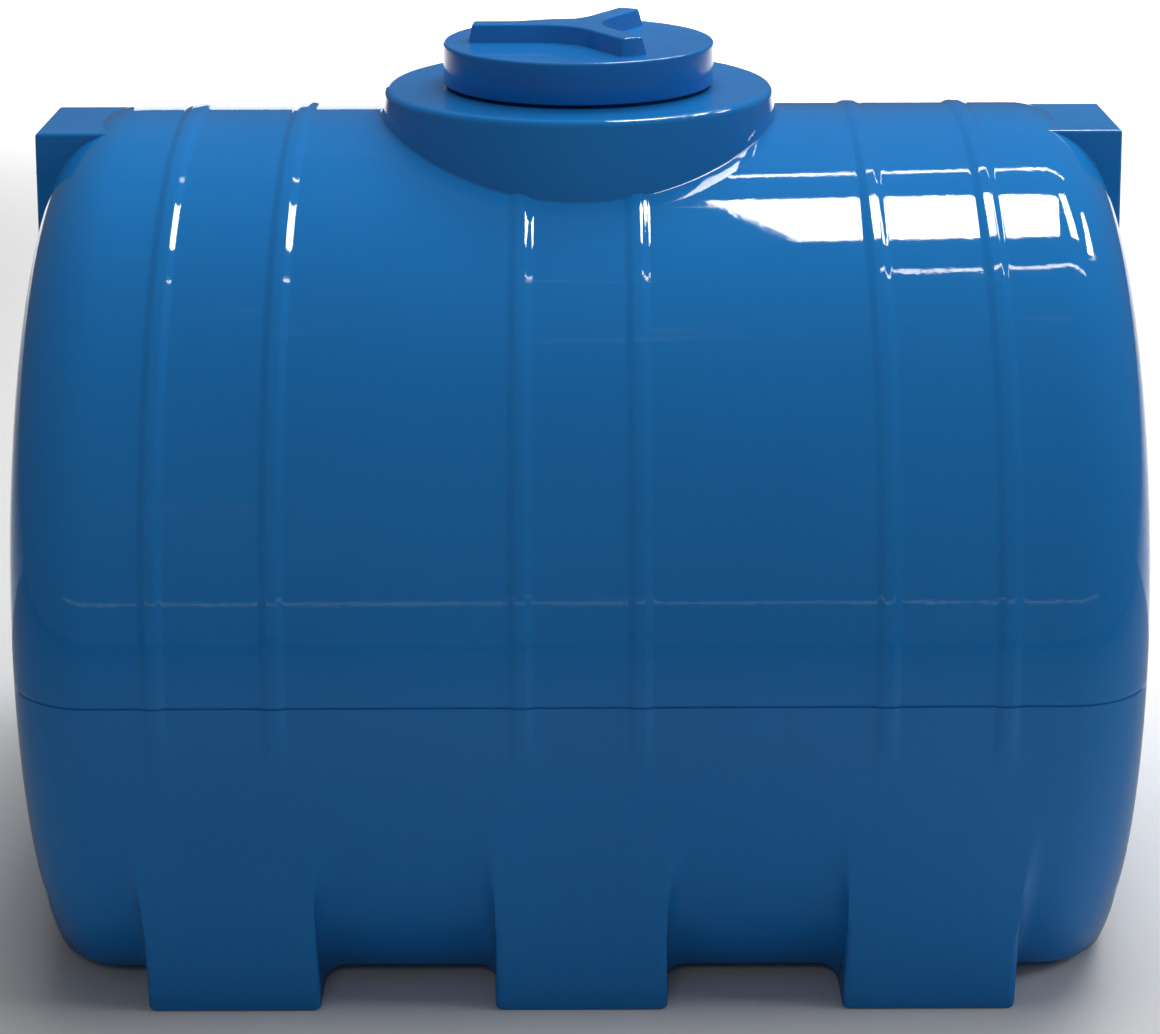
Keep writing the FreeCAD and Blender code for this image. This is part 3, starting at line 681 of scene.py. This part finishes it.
        rho = mark("rho")
        seam_rest = nodes.math("ARCCOSINE", size("Seam Height") / size("Radius"))
        seam_here = nodes.math("ARCCOSINE", nodes.math("MINIMUM", size("Seam Height") / rho, 0.9))
        turn = mark("turn")
        side = nodes.math("SIGN", math.pi - turn)
        fold = math.pi - abs(math.pi - turn)
        near_seam = 1 - abs(fold - seam_rest) / (math.pi / 2 + 0.05)
        fold = fold + (seam_here - seam_rest) * near_seam
        sine = nodes.math("SINE", fold)
        cosine = nodes.math("COSINE", fold)
        down = nodes.math("MAXIMUM", -cosine, 0.001)

        round_part = nodes.math("SMOOTH_MIN", rho, size("Belly Depth") / down, size("Belly Rounding"))
        height = size("Axis Height")
        slope = size("Foot Slope")
        reach = size("Foot Front") + height * slope
        front = reach / nodes.math("MAXIMUM", sine - slope * cosine, 0.001)
        foot = nodes.math("SMOOTH_MIN", front, height / down, size("Foot Rounding"))
        step = nodes.math("SMOOTH_MAX", foot - round_part, 0.0, 0.006)
        step = step * nodes.ramp(fold, *map(math.radians, self.foot_fade))

        root = size("Wall Root")
        above_root = nodes.math("MAXIMUM", step - root, 0.0)
        edge = nodes.math("MINIMUM", above_root, size("Wall Edge")) + 1e-7
        inner = mark("foot")
        below = nodes.math("MAXIMUM", 1 + inner / root, 0.0)
        above = nodes.math("MAXIMUM", 1 - inner / edge, 0.0)

        def sag(part: Value) -> Value:
            """How far a quarter circle falls away, for a share of its radius."""
            square = nodes.math("MAXIMUM", 1 - part * part, 0.0)
            return 1 - nodes.math("SQRT", square)

        within = inner > 0.0
        below = nodes.math("MINIMUM", below, 1.0)
        above = nodes.math("MINIMUM", above, 1.0)
        beside = nodes.math("SMOOTH_MIN", step, root * sag(below), 0.008)
        beside = nodes.math("MAXIMUM", beside, 0.0)
        lift = within * (step - edge * sag(above)) + (1 - within) * beside

        flank = (1 - mark("rib") / size("Rib Half Width")) / size("Rib Flank")
        flank = nodes.math("SMOOTH_MAX", flank, 0.0, 0.25)
        rib = size("Rib Height") * nodes.math("SMOOTH_MIN", flank, 1.0, 0.3)
        rib = rib * nodes.ramp(fold, *map(math.radians, self.rib_fade), 1.0, 0.0)
        groove = mark("seam") * size("Seam Depth")
        out = round_part + lift + rib - groove

        along = mark("along")
        drop = out * cosine
        across = along - size("Pad Across")
        low = drop + size("Pad Drop")
        far = nodes.math("SQRT", across * across + low * low)
        rear = nodes.math("MAXIMUM", side, 0.0)
        pad_end = size("Pad Radius") + self.pad_edge
        on_pad = nodes.ramp(far, size("Pad Radius"), pad_end, 1.0, 0.0) * rear
        pad = size("Pad Face") / nodes.math("MAXIMUM", sine, 0.05)
        pad = nodes.math("SMOOTH_MIN", pad, size("Belly Depth") / down, size("Belly Rounding"))
        out = out + (pad - out) * on_pad

        level = nodes.math("MAXIMUM", out * cosine + height, 0.0)
        draft = size("Foot Draft") * level * nodes.ramp(level, *self.draft_fade, 1.0, 0.0)
        across = along + mark("sway") * draft
        place = nodes.add("ShaderNodeCombineXYZ", X=across, Y=out * sine * side, Z=level)
        rolled = nodes.add("GeometryNodeSetPosition", Geometry=group.outputs["Geometry"],
                           Position=place.outputs[0])
        merged = nodes.add("GeometryNodeMergeByDistance", Geometry=rolled.outputs[0],
                           Distance=0.00005)
        real = nodes.add("GeometryNodeRealizeInstances", Geometry=merged.outputs[0])
        dressed = nodes.add("GeometryNodeSetMaterial", Geometry=real.outputs[0], Material=material)
        nodes.add("NodeGroupOutput", Geometry=dressed.outputs[0])
        return tree

    def build(self, material: bpy.types.Material) -> bpy.types.Object:
        """Rolls the sheet up.

        Args:
            material: The barrel's material.

        Returns:
            The barrel, as a plain mesh.
        """
        sheet = self.sheet()
        tree = self.tree(material)
        modifier = sheet.modifiers.new("roll", "NODES")
        modifier.node_group = tree
        keys = {item.name: item.identifier for item in tree.interface.items_tree
                if item.item_type == "SOCKET" and item.in_out == "INPUT"}
        for name, size in self.inputs().items():
            modifier[keys[name]] = size
        evaluated = sheet.evaluated_get(bpy.context.evaluated_depsgraph_get())
        mesh = bpy.data.meshes.new_from_object(evaluated)
        mesh.name = "tank_barrel"
        sheet.modifiers.remove(modifier)
        sheet.data = mesh
        for name in COLUMN_MARKS + ROW_MARKS:
            if name in mesh.attributes:
                mesh.attributes.remove(mesh.attributes[name])
        mesh.shade_smooth()
        mesh.set_sharp_from_angle(angle=math.radians(self.sharp_angle))
        return sheet


# ---- collar, neck and lid

@dataclass(frozen=True)
class Thread:
    """The coarse thread of the neck and the lid."""

    pitch: float = 16 * MM
    length: float = 20 * MM
    base: float = 6 * MM
    crest: float = 3 * MM
    depth: float = 3.6 * MM
    neck_start: float = 948 * MM
    run_out: float = 0.05
    tip: float = 0.02
    buried: float = 0.8 * MM
    spans: int = 150


@dataclass
class Collar:
    """The round collar on the barrel, filleted to it, with the threaded neck on top."""

    barrel: Barrel
    thread: Thread
    top: float = 936 * MM
    radius: float = 222.5 * MM
    flare: float = 22.5 / 132
    rim: float = 9 * MM
    fillet: float = 3 * MM
    neck_radius: float = 141 * MM
    neck_bore: float = 133 * MM
    neck_top: float = 975 * MM
    neck_root: float = 3 * MM
    lip: float = 2 * MM
    segments: int = 160

    def side_radius(self, height: float) -> float:
        """The collar side's radius at a height."""
        return self.radius + (self.top - height) * self.flare

    def root_fillet(self, turn: float, steps: int = 7) -> list[Point]:
        """A rolling-ball fillet between the barrel and the collar's side, at one turn.

        Args:
            turn: The turn about the collar's axis, in radians.
            steps: Number of spans over the fillet.

        Returns:
            Points from inside the barrel's skin, over the fillet and on to the collar's side.
        """
        barrel, ball = self.barrel, self.fillet
        lean = math.hypot(1.0, self.flare)
        height = self.top - 60 * MM
        for _ in range(12):
            out = self.side_radius(height) + ball * lean
            across = out * math.sin(turn)
            height = barrel.axis_height + math.sqrt((barrel.radius + ball) ** 2 - across ** 2)
        centre = Vector((out * math.cos(turn), out * math.sin(turn), height))
        to_barrel = -Vector((0, centre.y, centre.z - barrel.axis_height)).normalized()
        to_side = -Vector((math.cos(turn), math.sin(turn), self.flare)).normalized()
        buried = centre + to_barrel * (ball + 6 * MM) + to_side * 4 * MM
        line = [tuple(buried)]
        for i in range(steps + 1):
            direction = to_barrel.slerp(to_side, i / steps)
            line.append(tuple(centre + direction * ball))
        return line

    def build(self, material: bpy.types.Material) -> bpy.types.Object:
        """Makes the collar and its neck with the thread.

        Args:
            material: The collar's material.

        Returns:
            The collar, as one piece.
        """
        lean = math.degrees(math.atan(self.flare))
        rim_centre = (self.side_radius(self.top - self.rim) - self.rim, self.top - self.rim)
        over = arc(rim_centre, self.rim, lean, 90, 6)
        root, lip = self.neck_root, self.lip
        over += [(rim_centre[0] - FLAT, self.top), (self.neck_radius + root + FLAT, self.top)]
        over += arc((self.neck_radius + root, self.top + root), root, 270, 180, 4)
        over += arc((self.neck_radius - lip, self.neck_top - lip), lip, 0, 90, 4)
        over += arc((self.neck_bore + lip, self.neck_top - lip), lip, 90, 180, 4)
        over += [(self.neck_bore, self.top - 12 * MM), (self.neck_bore, self.top - 70 * MM)]
        rings = []
        for i in range(self.segments):
            turn = 2 * math.pi * i / self.segments
            ring = self.root_fillet(turn)
            ring += [(r * math.cos(turn), r * math.sin(turn), h) for r, h in over]
            rings.append(ring)
        points, faces = loft(rings, closed_path=True)
        body = mesh_object("collar_body", points, faces, material, 40)
        ridge = helix_ridge("neck_ridge", self.neck_radius, 1, self.thread.neck_start, 0.0,
                            self.thread, material)
        return joined("tank_collar", [body, ridge])


@dataclass
class Shoulders:
    """The square shoulders at the ends of the barrel, just under its top."""

    top: float = 896 * MM
    bottom: float = 690 * MM
    reach: float = 617 * MM
    root: float = 425 * MM
    half_width: float = 81 * MM
    draft: float = 7 / 232
    rounding: float = 4 * MM
    least_rounding: float = 0.3 * MM
    spans: int = 6

    def outline(self, reach: float, half: float, rounding: float) -> Profile:
        """One level of a shoulder at +X, with rounded outer corners.

        Args:
            reach: How far out it goes.
            half: Half its width.
            rounding: Radius of its corners, which are never quite sharp.

        Returns:
            The outline, anticlockwise from above.
        """
        line = [(self.root, half), (self.root, -half)]
        rounding = max(rounding, self.least_rounding)
        line += arc((reach - rounding, -half + rounding), rounding, 270, 360, self.spans)
        line += arc((reach - rounding, half - rounding), rounding, 0, 90, self.spans)
        return line

    def build(self, name: str, side: int, material: bpy.types.Material) -> bpy.types.Object:
        """Makes the shoulder at one end.

        Args:
            name: The shoulder's name.
            side: 1 for +X and -1 for -X.
            material: The shoulder's material.

        Returns:
            The shoulder.
        """
        levels = [(self.bottom, 0.0)]
        for i in range(self.spans + 1):
            turn = math.pi / 2 * i / self.spans
            levels.append((self.top - self.rounding * (1 - math.sin(turn)),
                           self.rounding * (1 - math.cos(turn))))
        levels.append((self.top, self.rounding + FLAT))
        rings = []
        for height, inset in levels:
            reach = self.reach + (self.top - height) * self.draft - inset
            line = self.outline(reach, self.half_width - inset, self.rounding - inset * 0.9)
            rings.append([(x * side, y * side, height) for x, y in line])
        points, faces = loft(rings)
        return mesh_object(name, points, faces, material, 40)


@dataclass
class Lid:
    """The screw lid: a capped skirt with an inner thread and a three-armed grip."""

    thread: Thread
    base: float = 940 * MM
    height: float = 47 * MM
    radius: float = 155.5 * MM
    bore: float = 146 * MM
    plate: float = 8 * MM
    edge: float = 3.5 * MM
    grip_reach: float = 121 * MM
    grip_half_width: float = 12.5 * MM
    grip_height: float = 20 * MM
    grip_web: float = 78 * MM
    grip_draft: float = 5 * MM
    grip_corner: float = 3.5 * MM
    grip_rounding: float = 3 * MM
    grip_growth: float = 1 * MM
    grip_root: float = 2 * MM
    segments: int = 160

    def star(self, grow: float) -> Profile:
        """The grip's outline at one level.

        Args:
            grow: How far it is grown outwards.

        Returns:
            The outline, anticlockwise.
        """
        half = self.grip_half_width + grow
        reach = self.grip_reach + grow
        web = self.grip_web - grow
        corner = self.grip_corner
        sixty = math.radians(60)
        distance = (half + web) / math.sin(sixty)
        line: Profile = []
        for arm in range(3):
            aim = math.pi + arm * 2 * math.pi / 3
            local = arc((reach - corner, -half + corner), corner, 270, 360, 4)
            local += arc((reach - corner, half - corner), corner, 0, 90, 4)
            centre = (distance * math.cos(sixty), distance * math.sin(sixty))
            local += arc(centre, web, 270, 210, 14)
            line += [(x * math.cos(aim) - y * math.sin(aim), x * math.sin(aim) + y * math.cos(aim))
                     for x, y in local]
        return line

    def grip(self, material: bpy.types.Material) -> bpy.types.Object:
        """The three arms, drafted and rounded along their top edge.

        Args:
            material: The grip's material.

        Returns:
            The grip.
        """
        floor = self.base + self.height
        rounding = self.grip_rounding
        levels = [(floor - self.grip_root, self.grip_draft)]
        steps = 5
        for i in range(steps + 1):
            turn = math.pi / 2 * i / steps
            levels.append((floor + self.grip_height - rounding * (1 - math.sin(turn)),
                           -rounding * (1 - math.cos(turn)) + self.grip_growth))
        levels.append((floor + self.grip_height, -rounding))
        rings = [[(x, y, height) for x, y in self.star(grow)] for height, grow in levels]
        points, faces = loft(rings, capped=False)
        centre = len(points)
        points.append((0.0, 0.0, floor + self.grip_height))
        count = len(rings[0])
        last = (len(rings) - 1) * count
        faces += [(last + i, last + (i + 1) % count, centre) for i in range(count)]
        faces.append(tuple(reversed(range(count))))
        return mesh_object("lid_grip", points, faces, material, 35)

    def build(self, material: bpy.types.Material) -> bpy.types.Object:
        """Makes the lid.

        Args:
            material: The lid's material.

        Returns:
            The lid, with its grip and its thread, as one piece.
        """
        top = self.base + self.height
        bore = self.bore
        ceiling = top - self.plate
        line: Profile = [(0.0002, ceiling)]
        line += arc((bore - 2 * MM, ceiling - 2 * MM), 2 * MM, 90, 0, 3)
        line += arc((bore + 1 * MM, self.base + 1 * MM), 1 * MM, 180, 270, 3)
        line += arc((self.radius - 1.5 * MM, self.base + 1.5 * MM), 1.5 * MM, 270, 360, 3)
        line += arc((self.radius - self.edge, top - self.edge), self.edge, 0, 90, 6)
        line += [(self.radius - self.edge - FLAT, top), (self.radius - 12 * MM, top), (0.0002, top)]
        rings = []
        for i in range(self.segments):
            turn = 2 * math.pi * i / self.segments
            rings.append([(r * math.cos(turn), r * math.sin(turn), h) for r, h in line])
        points, faces = loft(rings, closed_path=True)
        cap = mesh_object("lid_cap", points, faces, material, 35)
        ridge = helix_ridge("lid_ridge", bore, -1, self.thread.neck_start, math.pi, self.thread,
                            material)
        return joined("screw_lid_skin", [cap, self.grip(material), ridge])


# ---- studio

@dataclass(frozen=True)
class SoftLight:
    """A large lamp that lights the piece without showing in its gloss.

    Args:
        name: Its name.
        place: Its centre.
        aim: The point that it faces.
        size: Width and height.
        power: Watts.
        spread: How widely it throws its light, in degrees.
    """

    name: str
    place: Point
    aim: Point
    size: tuple[float, float]
    power: float
    spread: float = 180.0

    def build(self) -> None:
        """Makes the lamp."""
        data = bpy.data.lights.new(self.name, "AREA")
        data.shape = "RECTANGLE"
        data.size, data.size_y = self.size
        data.energy = self.power
        data.spread = math.radians(self.spread)
        lamp = bpy.data.objects.new(self.name, data)
        facing = (Vector(self.aim) - Vector(self.place)).to_track_quat("-Z", "Y")
        lamp.matrix_world = Matrix.Translation(self.place) @ facing.to_matrix().to_4x4()
        lamp.visible_glossy = False
        bpy.context.scene.collection.objects.link(lamp)


@dataclass(frozen=True)
class Pane:
    """A bright pane that shows as a crisp shape in glossy skins.

    Args:
        name: Its name.
        corners: Its corners, anticlockwise seen from the object.
        glow: Strength of its light.
    """

    name: str
    corners: tuple[Point, ...]
    glow: float

    def build(self) -> None:
        """Makes the pane."""
        material = bpy.data.materials.new(self.name)
        material.use_nodes = True
        shader = material.node_tree.nodes["Principled BSDF"]
        shader.inputs["Base Color"].default_value = (0, 0, 0, 1)
        shader.inputs["Emission Color"].default_value = (1, 1, 1, 1)
        shader.inputs["Emission Strength"].default_value = self.glow
        pane = mesh_object(self.name, self.corners, [tuple(range(len(self.corners)))], material)
        pane.visible_diffuse = False


def overhead(name: str, plan: Iterable[tuple[float, float]], glow: float) -> Pane:
    """A pane lying flat overhead, from its outline in plan."""
    return Pane(name, tuple((x, y, PANE_LEVEL) for x, y in plan), glow)


def ribbon(line: Sequence[tuple[float, float]], width: float) -> Profile:
    """The outline of a narrow band along a line."""
    return [(x, y + width / 2) for x, y in line] + [(x, y - width / 2) for x, y in reversed(line)]


@dataclass(frozen=True)
class Studio:
    """A pale floor, soft lights and the camera."""

    camera_place: Point = (0.0, -3.254, 1.534)
    pitch: float = 19.12
    roll: float = -0.2
    lens: float = 87.8
    surround: float = 0.10
    floor_shade: float = 0.80
    card_level: float = 0.002
    # the cards' grey: painted shade, the darkness of the shaded floor as the tank's gloss shows it
    card_painted_shade: float = 0.25
    lamps: tuple[SoftLight, ...] = (
        SoftLight("overhead_lamp", (0.25, -0.1, 4.2), (0.1, -0.1, 0.0), (3.0, 2.6), 82),
        SoftLight("rear_lamp", (1.4, 2.1, 3.2), (1.4, 2.0, 0.0), (3.8, 2.2), 150),
        SoftLight("far_lamp", (0.0, 7.0, 3.0), (0.0, 7.0, 0.0), (9.0, 4.0), 330, 110),
        SoftLight("side_lamp", (2.4, -0.9, 1.6), (1.1, -0.3, 0.0), (0.8, 0.8), 9),
        SoftLight("front_lamp", (-0.4, -5.0, 3.4), (0.0, -0.4, 1.0), (1.6, 1.2), 16),
    )
    panes: tuple[Pane, ...] = (
        overhead("window", ((0.28, 1.19), (0.95, 1.33), (1.56, 1.38), (1.21, 0.42), (0.87, 0.35),
                            (0.47, 0.30)), 22),
        overhead("second_window", ((1.62, 1.55), (2.00, 1.74), (2.43, 0.83), (1.93, 0.67)), 22),
        overhead("third_window", ((2.98, 1.96), (3.25, 2.18), (3.80, 1.38), (3.08, 0.97)), 22),
        overhead("tube_behind", ribbon(((0.35, 1.92), (0.66, 2.02), (1.14, 2.19), (2.22, 2.44)),
                                       0.08), 14),
        overhead("tube_before", ribbon(((0.67, -0.26), (0.86, -0.22), (1.70, 0.01), (2.70, 0.25)),
                                       0.05), 14),
        Pane("far_window", ((-1.95, 8.2, 0.2), (-0.7, 8.2, 0.2), (-0.7, 8.2, 1.9),
                            (-1.95, 8.2, 1.9)), 1.5),
        Pane("front_rail", ((9.0, -11.0, 1.70), (-9.0, -11.0, 1.70), (-9.0, -11.0, 1.80),
                            (9.0, -11.0, 1.80)), 0.9),
    )

    def camera(self) -> None:
        """Sets the camera."""
        data = bpy.data.cameras.new("camera")
        data.lens = self.lens
        data.sensor_width = 36
        data.clip_end = 100
        camera = bpy.data.objects.new("camera", data)
        tilt = Euler((math.radians(90 - self.pitch), 0, 0)).to_matrix()
        roll = Euler((0, 0, math.radians(self.roll))).to_matrix()
        camera.matrix_world = Matrix.Translation(self.camera_place) @ (tilt @ roll).to_4x4()
        bpy.context.scene.collection.objects.link(camera)
        bpy.context.scene.camera = camera

    def world(self) -> None:
        """A dim, even surround."""
        world = bpy.data.worlds.new("studio")
        world.use_nodes = True
        sky = world.node_tree.nodes["Background"]
        sky.inputs["Color"].default_value = (1.0, 0.985, 0.96, 1)
        sky.inputs["Strength"].default_value = self.surround
        bpy.context.scene.world = world

    def sheet(self, name: str, low: tuple[float, float], high: tuple[float, float], level: float,
              shade: float) -> bpy.types.Object:
        """A matt grey rectangle lying level.

        Args:
            name: Its name.
            low: Its least X and Y.
            high: Its greatest X and Y.
            level: Its height.
            shade: How pale it is, from 0 to 1.

        Returns:
            The rectangle.
        """
        material = bpy.data.materials.new(name)
        material.use_nodes = True
        shader = material.node_tree.nodes["Principled BSDF"]
        shader.inputs["Base Color"].default_value = (shade, shade, shade, 1)
        shader.inputs["Roughness"].default_value = 0.75
        corners = [(low[0], low[1], level), (high[0], low[1], level), (high[0], high[1], level),
                   (low[0], high[1], level)]
        return mesh_object(name, corners, [(0, 1, 2, 3)], material)

    def shade_card(self, name: str, low: tuple[float, float], high: tuple[float, float]) -> None:
        """Lays a grey card just over the floor, which only shows in the piece's gloss: painted shade,
        standing for the shaded floor that the tank reflects.

        Args:
            name: Its name.
            low: Its least X and Y.
            high: Its greatest X and Y.
        """
        shade_card = self.sheet(name, low, high, self.card_level, self.card_painted_shade)
        shade_card.visible_camera = False
        shade_card.visible_shadow = False
        shade_card.visible_diffuse = False

    def build(self) -> None:
        """Makes the whole studio."""
        self.camera()
        self.world()
        self.sheet("floor", (-14, -14), (14, 14), 0, self.floor_shade)
        # grey cards hidden from the camera and from shadows: painted shade for the floor in front of
        # and beside the tank, seen only in its gloss
        self.shade_card("front_shade_card", (-6, -9), (6, -0.25))
        self.shade_card("left_shade_card", (-6, -0.25), (-0.68, 0.6))
        self.shade_card("right_shade_card", (0.68, -0.25), (6, 0.6))
        for item in self.lamps + self.panes:
            item.build()
        bpy.context.scene.view_settings.view_transform = "Standard"


# ---- assembly

BARREL_NODES = sorted(name for name in frame["nodes"]
                      if name.startswith(("tank_roof", "tank_end", "tank_foot", "tank_belly")))


@dataclass
class Tank:
    """The whole object: its own skins on the frame, and finishes on the CAD nodes that stay."""

    barrel: Barrel = field(default_factory=Barrel)
    thread: Thread = field(default_factory=Thread)
    materials: dict[str, bpy.types.Material] = field(default_factory=dict)

    def finish_nodes(self) -> None:
        """Gives every CAD node the material of its slot in the record."""
        slots = {entry["node"]: entry["material_slot"] for entry in frame["record"]["subparts"]}
        for name, node in frame["nodes"].items():
            for slot in node.material_slots:
                slot.material = self.materials[slots[name]]

    def adopt(self, piece: bpy.types.Object, body: str, nodes: Iterable[str]) -> None:
        """Ties a finished piece to the frame.

        Args:
            piece: The finished piece.
            body: The body that it rides on.
            nodes: The CAD nodes that it stands for.
        """
        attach(piece, body)
        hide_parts(*nodes)
        log.info("%s: %d faces", piece.name, len(piece.data.polygons))

    def build(self) -> None:
        """Builds and ties every piece."""
        self.materials = {finish.name: finish.build() for finish in FINISHES}
        self.finish_nodes()
        blue = self.materials["blue_polyethylene"]
        self.adopt(self.barrel.build(blue), "root", BARREL_NODES)
        self.adopt(Collar(self.barrel, self.thread).build(blue), "root", ["tank_collar"])
        for side, end in ((-1, "left"), (1, "right")):
            shoulder = Shoulders().build(f"shoulder_{end}", side, blue)
            self.adopt(shoulder, "root", [f"tank_end_{end}"])
        lid = Lid(self.thread).build(self.materials[LID_BLUE.name])
        self.adopt(lid, "lid", ["screw_lid"])


def main() -> None:
    """Builds the studio and the tank in order."""
    logging.basicConfig(level=logging.INFO, format="%(name)s: %(message)s")
    Studio().build()
    Tank().build()


if __name__ == "__main__":
    main()
